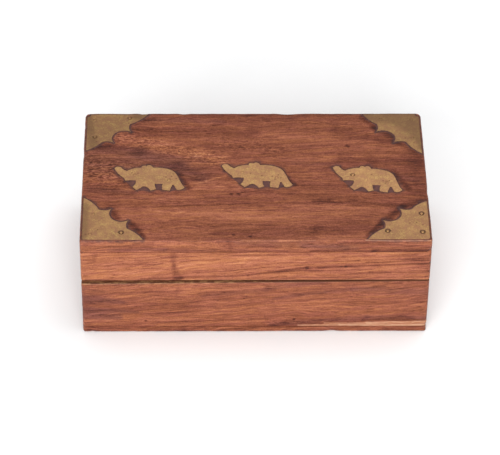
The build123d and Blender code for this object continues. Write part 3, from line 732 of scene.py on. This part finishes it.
def pale_floor():
    made, tree = material("pale_floor")
    tooth = tree.noise(tree.place_mm(), 0.05, 3.0)
    tree.surface(tree.ramp(tooth, FLOOR), 0.75, Specular_IOR_Level=0.2)
    return made


# ---------------------------------------------------------------- dense copies of CAD pieces


def welded(node):
    """A bmesh of a CAD node's mesh with its doubled points joined."""
    mesh = bmesh.new()
    mesh.from_mesh(NODES[node].data)
    bmesh.ops.remove_doubles(mesh, verts=mesh.verts, dist=WELD)
    return mesh


def cut_places(low, high, pitch):
    """Even places between low and high, closer together at both ends, where edges wear."""
    places = [low + gap for gap in EDGE_CUTS] + [high - gap for gap in EDGE_CUTS]
    start, end = low + EDGE_CUTS[-1], high - EDGE_CUTS[-1]
    steps = max(int((end - start) / pitch), 1)
    places += [start + (end - start) * i / steps for i in range(1, steps)]
    return sorted(places)


def diced(node, low, high, pitch, soften=0.0):
    """A copy of a CAD node's mesh, cut by planes between low and high. Soften rounds its top edges."""
    mesh = welded(node)
    if soften:
        soften_top(mesh, soften)
    own_low, own_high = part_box(node)
    for axis in range(3):
        normal = Vector((axis == 0, axis == 1, axis == 2))
        for place in cut_places(low[axis], high[axis], pitch):
            if own_low[axis] + LEVEL < place < own_high[axis] - LEVEL:
                cut_across(mesh, normal * place, normal)
    return mesh


def cut_across(mesh, place, normal):
    whole = mesh.verts[:] + mesh.edges[:] + mesh.faces[:]
    bmesh.ops.bisect_plane(mesh, geom=whole, dist=1e-7, plane_co=place, plane_no=normal)


def soften_top(mesh, width):
    """Rounds the edges where an upward face meets an upright one."""
    mesh.normal_update()
    edges = []
    for edge in mesh.edges:
        if len(edge.link_faces) == 2:
            up, side = sorted(edge.link_faces, key=lambda face: -face.normal.z)
            if up.normal.z > 0.99 and abs(side.normal.z) < 0.05:
                edges.append(edge)
    rounding = {"segments": 2, "profile": 0.6, "affect": "EDGES", "clamp_overlap": True}
    bmesh.ops.bevel(mesh, geom=edges, offset=width, **rounding)


def shown(name, data):
    """A new object in the scene."""
    made = bpy.data.objects.new(name, data)
    bpy.context.scene.collection.objects.link(made)
    return made


def piece(name, mesh, body, look, replaced, attributes, crease_deg=38.0):
    """Turns a bmesh into a visible piece on a body, standing for its CAD node."""
    data = bpy.data.meshes.new(name)
    mesh.to_mesh(data)
    mesh.free()
    for key, values in attributes.items():
        data.attributes.new(key, "FLOAT", "POINT").data.foreach_set("value", values)
    data.shade_smooth()
    data.set_sharp_from_angle(angle=math.radians(crease_deg))
    data.materials.append(look)
    made = shown(name, data)
    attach(made, body)
    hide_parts(replaced)
    return made


# ---------------------------------------------------------------- wear

# How far in an arris is rubbed, and how deep: all along, in rubbed stretches, and in fine nicks.
RUB_WIDTH, RUB_DEPTH, STRETCH_DEPTH, NICK_DEPTH = 1.15 * MM, 0.04 * MM, 0.20 * MM, 0.07 * MM
RUB_ELSEWHERE = Vector((7.1, 3.3, 9.2))  # keeps the rubbed stretches apart from the wobble's noise

# Knocks in the wood: place in millimetres, radius and depth in millimetres.
KNOCKS = (
    ((88.6, -50.5, 56.0), 2.4, 0.8),
    ((-37.0, 50.5, 64.0), 4.0, 0.22),
    ((18.0, 50.5, 64.0), 7.0, 0.30),
    ((-58.0, 50.5, 64.0), 3.0, 0.35),
    ((-89.0, 18.0, 64.0), 4.0, 0.40),
    ((89.0, -12.0, 64.0), 5.0, 0.30),
    ((-61.0, -50.5, 64.0), 3.0, 0.25),
    ((-84.0, -50.5, 0.5), 2.4, 0.20),
    ((40.0, -50.5, 0.0), 4.0, 0.30),
    ((89.0, -50.5, 3.0), 3.0, 0.45),
    ((89.0, 30.0, 37.5), 3.5, 0.35),
    ((-89.0, -20.0, 35.4), 4.0, 0.35),
    ((89.0, 50.0, 20.0), 4.0, 0.35),
    ((-30.0, 50.5, 2.0), 5.0, 0.40),
    ((-89.0, 40.0, 64.0), 2.6, 0.40),
)


def rim_height(x):
    """The base's rim at x."""
    share = (x - BOX_LOW.x) / (BOX_HIGH.x - BOX_LOW.x)
    return RIM_LEFT + share * (RIM_RIGHT - RIM_LEFT)


def arris(point, low, high):
    """Distance from a point to the nearest outer edge of a low-to-high box, and the way in from it."""
    gaps = []
    for axis in range(3):
        to_low, to_high = point[axis] - low[axis], high[axis] - point[axis]
        gaps.append((min(to_low, to_high), axis, 1.0 if to_low < to_high else -1.0))
    gaps.sort()
    inward = Vector((0, 0, 0))
    for _, axis, way in gaps[:2]:
        inward[axis] = way
    return math.hypot(max(gaps[0][0], 0), max(gaps[1][0], 0)), inward


def hand_wobble(point):
    """The slow unevenness of hand sanding and sawing, in metres."""
    return 0.11 * MM * noise.noise_vector(point * 24.0) + 0.05 * MM * noise.noise_vector(point * 75.0)


def worn(mesh, low, high):
    """Moves a board's points for sanding, rubbed edges and knocks. Gives each point's share of wear."""
    shares = []
    knocks = [(Vector(place) * MM, radius * MM, depth * MM) for place, radius, depth in KNOCKS]
    for vert in mesh.verts:
        point = vert.co.copy()
        top = high.copy()
        if top.z < LID_LOW.z:
            top.z = rim_height(point.x)
        distance, inward = arris(point, low, top)
        rub = 0.5 + 0.5 * noise.noise(point * 130.0 + RUB_ELSEWHERE)
        fine = 0.5 + 0.5 * noise.noise(point * 420.0)
        depth = RUB_DEPTH + STRETCH_DEPTH * rub * rub + NICK_DEPTH * fine
        near = math.exp(-((distance / RUB_WIDTH) ** 2))
        move = hand_wobble(point) + inward * depth * near
        for place, radius, knock in knocks:
            away = (point - place).length / radius
            if away < 1.0:
                move += inward * knock * (1.0 - away * away) ** 2
        vert.co = point + move
        shares.append(near * (0.35 + 0.65 * rub))
    return shares


def flush_to_bounds(mesh):
    """Keeps a board inside the box's outside."""
    for vert in mesh.verts:
        for axis in range(3):
            vert.co[axis] = min(max(vert.co[axis], BOX_LOW[axis]), BOX_HIGH[axis])


# ---------------------------------------------------------------- boards

TOP_TONE, RAIL_TONE, BASE_TONE, BOTTOM_TONE = 0.482, 0.632, 0.498, 0.44
TOP_SEED, BOTTOM_SEED = 1.0, 8.3
BOTTOM_CONTRAST = 1.9
SIDE_GRAINS = {
    "front": {"seed": 2.0, "lean": 0.07},
    "back": {"seed": 3.4, "lean": -0.03},
    "left": {"seed": 4.7, "grain": "Y"},
    "right": {"seed": 6.1, "grain": "Y", "lean": 0.04},
}
FARTHEST_GAP = 12.0  # brass farther off than this, in millimetres, stains nothing
RIM_EASE = 0.35 * MM


def make_boards():
    """The lid's and the base's boards."""
    base_high = Vector((BOX_HIGH.x, BOX_HIGH.y, RIM_RIGHT))
    marks = TOP_MARKS + unfolded(EDGE_MARKS)
    top = rosewood("rosewood_top", TOP_TONE, TOP_SEED, marks=marks, marks_on="XY", stained=True)
    for side, grain in SIDE_GRAINS.items():
        lid_marks, base_marks = (LID_FRONT_MARKS, BASE_FRONT_MARKS) if side == "front" else ((), ())
        lid_look = rosewood(f"rosewood_lid_{side}", RAIL_TONE, marks=lid_marks, **grain)
        base_look = rosewood(f"rosewood_base_{side}", BASE_TONE, marks=base_marks, **grain)
        board(f"lid_{side}_rail", "lid", LID_LOW, BOX_HIGH, lid_look)
        board(f"base_{side}_board", "base", BOX_LOW, base_high, base_look)
    bottom = rosewood("rosewood_bottom", BOTTOM_TONE, BOTTOM_SEED, contrast=BOTTOM_CONTRAST)
    board("base_bottom_board", "base", BOX_LOW, base_high, bottom)
    outlines = tree_of([p for name in INLAYS for p in outline_points(name)])
    board("lid_top_board", "lid", LID_LOW, BOX_HIGH, top, outlines)


def board(node, body, low, high, look, outlines=None):
    """One board, worn and kept inside the box's outside. Outlines are the brass ones let into it."""
    mesh = diced(node, low, high, WOOD_PITCH)
    attributes = {"rim": [rim_share(v.co, body) for v in mesh.verts]}
    if outlines:
        attributes["brass_gap"] = [min(outlines.find(v.co)[2] / MM, FARTHEST_GAP) for v in mesh.verts]
    attributes["wear"] = worn(mesh, low, high)
    flush_to_bounds(mesh)
    piece("worn_" + node, mesh, body, look, node, attributes)


def rim_share(point, body):
    """1 on the sawn rim where lid and base meet, 0 past its eased edge."""
    gap = rim_height(point.x) - point.z if body == "base" else point.z - LID_LOW.z
    return min(max(1.1 - gap / RIM_EASE, 0.0), 1.0)


# ---------------------------------------------------------------- inlays

# Each inlay's brightness, pits and tarnish. Places are millimetres on the lid.
PITS = {
    "elephant_left": (
        (-63.6, 1.9), (-60.4, 1.6), (-43.0, -1.0), (-42.2, 0.8), (-40.6, -2.6), (-43.9, -3.0), (-46.0, -1.6)
    ),
    "elephant_centre": ((9.0, -1.0), (12.2, 0.2), (13.4, -2.2), (10.4, -3.2), (3.6, -0.6), (-2.2, 1.4)),
    "elephant_right": ((66.2, -4.6), (68.0, -5.6), (69.4, -4.4), (67.2, -6.6), (60.4, 0.2)),
    "corner_plate_front_right": ((78.0, -37.4), (81.5, -37.0), (84.6, -38.8)),
    "corner_plate_front_left": ((-86.0, -45.4), (-80.0, -42.0)),
    "corner_plate_back_left": ((-82.6, 27.0), (-66.0, 42.0)),
    "corner_plate_back_right": ((79.6, 29.6), (84.0, 26.0)),
}
TARNISH = {
    "corner_plate_back_right": (
        ((60, 49), (88, 46), 7.0),
        ((80, 44), (87, 34), 7.0),
        ((87, 36), (88, 22), 2.4),
    ),
    "corner_plate_back_left": (((-88, 47), (-84, 24), 3.0), ((-62, 47), (-54, 47), 2.4)),
    "corner_plate_front_left": (((-87, -47), (-87, -24), 2.6),),
}
BRIGHTNESS = {
    "corner_plate_back_left": 0.74,
    "corner_plate_back_right": 0.76,
    "corner_plate_front_left": 0.92,
    "corner_plate_front_right": 0.93,
    "elephant_left": 1.02,
    "elephant_centre": 1.08,
    "elephant_right": 1.10,
}

# A nail's hole of more than this radius shows a ring of grime, which spreads a little past the hole.
WIDE_HOLE, RING_OVERLAP = 1.0 * MM, 0.1 * MM
RING_GRIME, FAINT_RINGS = 0.95, {"corner_plate_back_left": 0.50, "elephant_right": 0.70}

# Grime along an inlay's edge: how dark, and how fast it fades for each millimetre.
EDGE_GRIME, EDGE_FADE = 0.55, 1.9

# The dish round each nail and the brass's height above its CAD top, with its slow and fine unevenness.
DISH_WIDTH, DISH_DEPTH = 2.4 * MM, 0.10 * MM
PROUD, SLOW_LIFT, FINE_LIFT = 0.05 * MM, 0.05 * MM, 0.03 * MM

# How far the filler has sunk, with its slow and fine unevenness, and the least it sinks.
SUNK, SLOW_SINK, FINE_SINK, LEAST_SUNK = 0.13 * MM, 0.10 * MM, 0.06 * MM, 0.02 * MM

OUTLINE_STEP = 0.5 * MM
NAIL_CLEARANCE = 1.7 * MM  # an outline's points lie farther than this from the centre of a nail
FILED_EDGE = 0.10 * MM
SKIN = 0.3 * MM  # how far below an inlay's top its points still move with it
SNIP = 0.12 * MM  # how far a hand-cut outline strays


def outline_points(node):
    """Points along a flat inlay's top outline, leaving out its nail holes."""
    mesh = welded(node)
    mesh.normal_update()
    top, nails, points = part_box(node)[1].z, nail_places(node), []
    for edge in mesh.edges:
        level = all(vert.co.z > top - LEVEL for vert in edge.verts)
        if level and min(face.normal.z for face in edge.link_faces) < 0.5:
            start, end = (vert.co for vert in edge.verts)
            steps = max(int(edge.calc_length() / OUTLINE_STEP), 1)
            points += [start.lerp(end, i / steps) for i in range(steps)]
    mesh.free()
    return [p for p in points if all((p - n).xy.length > NAIL_CLEARANCE for n in nails)]


def nail_places(node):
    """The top centre of each nail in an inlay, from the nails' own solids."""
    mesh = welded(node + "_nails")
    places, left = [], set(mesh.verts)
    while left:
        patch, edge = set(), [left.pop()]
        while edge:
            vert = edge.pop()
            patch.add(vert)
            for link in vert.link_edges:
                other = link.other_vert(vert)
                if other in left:
                    left.discard(other)
                    edge.append(other)
        low = Vector(min(v.co[i] for v in patch) for i in range(3))
        high = Vector(max(v.co[i] for v in patch) for i in range(3))
        places.append(Vector(((low.x + high.x) / 2, (low.y + high.y) / 2, high.z)))
    mesh.free()
    return places


def hole_radius(node, nail):
    """The radius of the hole round a nail, on the inlay's top."""
    top = nail.z - LEVEL
    return min((v.co - nail).xy.length for v in NODES[node].data.vertices if v.co.z > top)


def tree_of(points):
    """The points in a form that finds the nearest one."""
    tree = kdtree.KDTree(len(points))
    for index, point in enumerate(points):
        tree.insert(point, index)
    tree.balance()
    return tree


def snip(point):
    """How a hand-cut outline strays at a point, level only."""
    stray = noise.noise_vector(point * 330.0)
    return Vector((stray.x, stray.y, 0)) * SNIP


def make_inlays():
    filler = resin_filler()
    for name in INLAYS:
        brass = aged_brass("brass_" + name, BRIGHTNESS[name], PITS[name], TARNISH.get(name, ()))
        brass_inlay(name, brass)
        sunk_filler(name, filler)
        finish_cad(name + "_nails", brass)


def brass_inlay(name, look):
    """Sheet brass with filed edges, slightly dished and lifted here and there."""
    low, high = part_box(name)
    mesh = diced(name, low, high, BRASS_PITCH, soften=FILED_EDGE)
    edge, nails = tree_of(outline_points(name)), nail_places(name)
    rings = {n.freeze(): hole_radius(name, n) for n in nails}
    grime = []
    for vert in mesh.verts:
        point = vert.co.copy()
        to_edge = edge.find(point)[2] / MM
        nearest = min(nails, key=lambda n: (point - n).xy.length)
        to_nail = (point - nearest).xy.length
        ringed = rings[nearest] > WIDE_HOLE and to_nail < rings[nearest] + RING_OVERLAP
        ring = FAINT_RINGS.get(name, RING_GRIME) if ringed else 0.0
        grime.append(max(math.exp(-to_edge * EDGE_FADE) * EDGE_GRIME, ring))
        lift = PROUD + SLOW_LIFT * noise.noise(point * 90.0) + FINE_LIFT * noise.noise(point * 300.0)
        dish = math.exp(-((to_nail / DISH_WIDTH) ** 2)) * DISH_DEPTH
        vert.co = point + snip(point)
        if point.z > high.z - SKIN:
            vert.co.z += lift - dish
    piece("filed_" + name, mesh, "lid", look, name, {"grime": grime}, crease_deg=30.0)


def sunk_filler(inlay, look):
    """Filler round an inlay that has shrunk below the wood and the brass."""
    name = inlay + "_filler"
    low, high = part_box(name)
    mesh = diced(name, low, high, FILLER_PITCH)
    brass, gaps = tree_of(outline_points(inlay)), []
    for vert in mesh.verts:
        point = vert.co.copy()
        gaps.append(brass.find(point)[2] / MM)
        vert.co = point + snip(point)
        if point.z > high.z - LEVEL:
            drop = SUNK + SLOW_SINK * noise.noise(point * 240.0) + FINE_SINK * noise.noise(point * 900.0)
            vert.co.z -= max(drop, LEAST_SUNK)
    piece("sunk_" + name, mesh, "lid", look, name, {"brass_gap": gaps})


# ---------------------------------------------------------------- hardware and linings

# The velvet's rolled edges, and the slow and fine unevenness of its face.
ROLL_WIDTH, ROLL_DEPTH = 0.7 * MM, 0.28 * MM
SLOW_PUFF, FINE_PUFF = 0.10 * MM, 0.05 * MM


def finish_cad(node, look):
    """Keeps a CAD piece as it is and gives it a material."""
    data = NODES[node].data
    data.materials.clear()
    data.materials.append(look)


def make_hardware():
    brass = hinge_brass()
    for side in ("left", "right"):
        for part in ("base_leaf", "base_screws", "lid_leaf", "lid_screws", "pin"):
            finish_cad(f"hinge_{side}_{part}", brass)
    finish_cad("bottom_board_brads", plain_steel())


def make_linings():
    look = red_velvet()
    for body, flat in (("base", "floor"), ("lid", "top")):
        for name in (flat, *SIDES):
            velvet(f"{body}_{name}_lining", body, look)


def velvet(node, body, look):
    """Velvet glued over card: a soft face with rolled edges."""
    low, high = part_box(node)
    mesh = diced(node, low, high, VELVET_PITCH)
    size = high - low
    thin = min(range(3), key=lambda axis: size[axis])
    for vert in mesh.verts:
        point = vert.co.copy()
        distance, inward = arris(point, low, high)
        roll = math.exp(-((distance / ROLL_WIDTH) ** 2)) * ROLL_DEPTH
        puff = SLOW_PUFF * noise.noise(point * 60.0) + FINE_PUFF * noise.noise(point * 260.0)
        move = inward * roll
        facing = 1.0 if point[thin] > (low[thin] + high[thin]) / 2 else -1.0
        move[thin] -= facing * abs(puff)
        vert.co = point + move
    made = piece("velvet_" + node, mesh, body, look, node, {}, crease_deg=60.0)


# ---------------------------------------------------------------- setting

FLOOR_HALF, FLOOR_DROP = 3.0, 0.02 * MM

# The photograph's viewpoint, from a fit to the box's corners. Degrees, millimetres.
CAMERA_YAW, CAMERA_PITCH, CAMERA_ROLL = 1.35, 42.02, 0.81
CAMERA_PLACE = (-26.5, -1038.2, 963.2)
CAMERA_LENS, CAMERA_SENSOR = 191.2, 36.0

AIM = Vector((0.0, 0.0, 0.03))  # where both softboxes point
SKY_STRENGTH = 0.55


def make_floor():
    mesh = bmesh.new()
    bmesh.ops.create_grid(mesh, x_segments=8, y_segments=8, size=FLOOR_HALF)
    data = bpy.data.meshes.new("floor")
    mesh.to_mesh(data)
    mesh.free()
    data.materials.append(pale_floor())
    floor = shown("floor", data)
    floor.location.z = -FLOOR_DROP


def make_camera():
    """A long lens in front of the box, looking down at its lid."""
    yaw, pitch, roll = (math.radians(angle) for angle in (CAMERA_YAW, CAMERA_PITCH, CAMERA_ROLL))
    ahead = Vector((math.sin(yaw) * math.cos(pitch), math.cos(yaw) * math.cos(pitch), -math.sin(pitch)))
    level = Vector((math.cos(yaw), -math.sin(yaw), 0))
    upward = level.cross(ahead)
    right = math.cos(roll) * level + math.sin(roll) * upward
    up = math.cos(roll) * upward - math.sin(roll) * level
    data = bpy.data.cameras.new("camera")
    data.sensor_width = CAMERA_SENSOR
    data.lens = CAMERA_LENS
    data.clip_start, data.clip_end = 0.05, 20.0
    camera = shown("camera", data)
    turn = Matrix((right, up, -ahead)).transposed().to_4x4()
    camera.matrix_world = Matrix.Translation(Vector(CAMERA_PLACE) * MM) @ turn
    bpy.context.scene.camera = camera


def softbox(name, place, size, power):
    """A rectangular light that faces the box."""
    data = bpy.data.lights.new(name, "AREA")
    data.shape = "RECTANGLE"
    data.size, data.size_y = size
    data.energy = power
    light = shown(name, data)
    light.location = place
    light.rotation_euler = (AIM - Vector(place)).to_track_quat("-Z", "Y").to_euler()


def make_light():
    world = bpy.data.worlds.new("studio")
    world.use_nodes = True
    background = world.node_tree.nodes["Background"]
    background.inputs["Color"].default_value = (1.0, 1.0, 1.0, 1.0)
    background.inputs["Strength"].default_value = SKY_STRENGTH
    bpy.context.scene.world = world
    softbox("front_softbox", place=(-0.35, -1.9, 0.95), size=(1.8, 1.2), power=42.0)
    softbox("top_softbox", place=(0.3, 0.2, 1.8), size=(1.6, 1.6), power=14.0)
    bpy.context.scene.view_settings.view_transform = "Standard"


make_boards()
make_inlays()
make_hardware()
make_linings()
make_floor()
make_light()
make_camera()
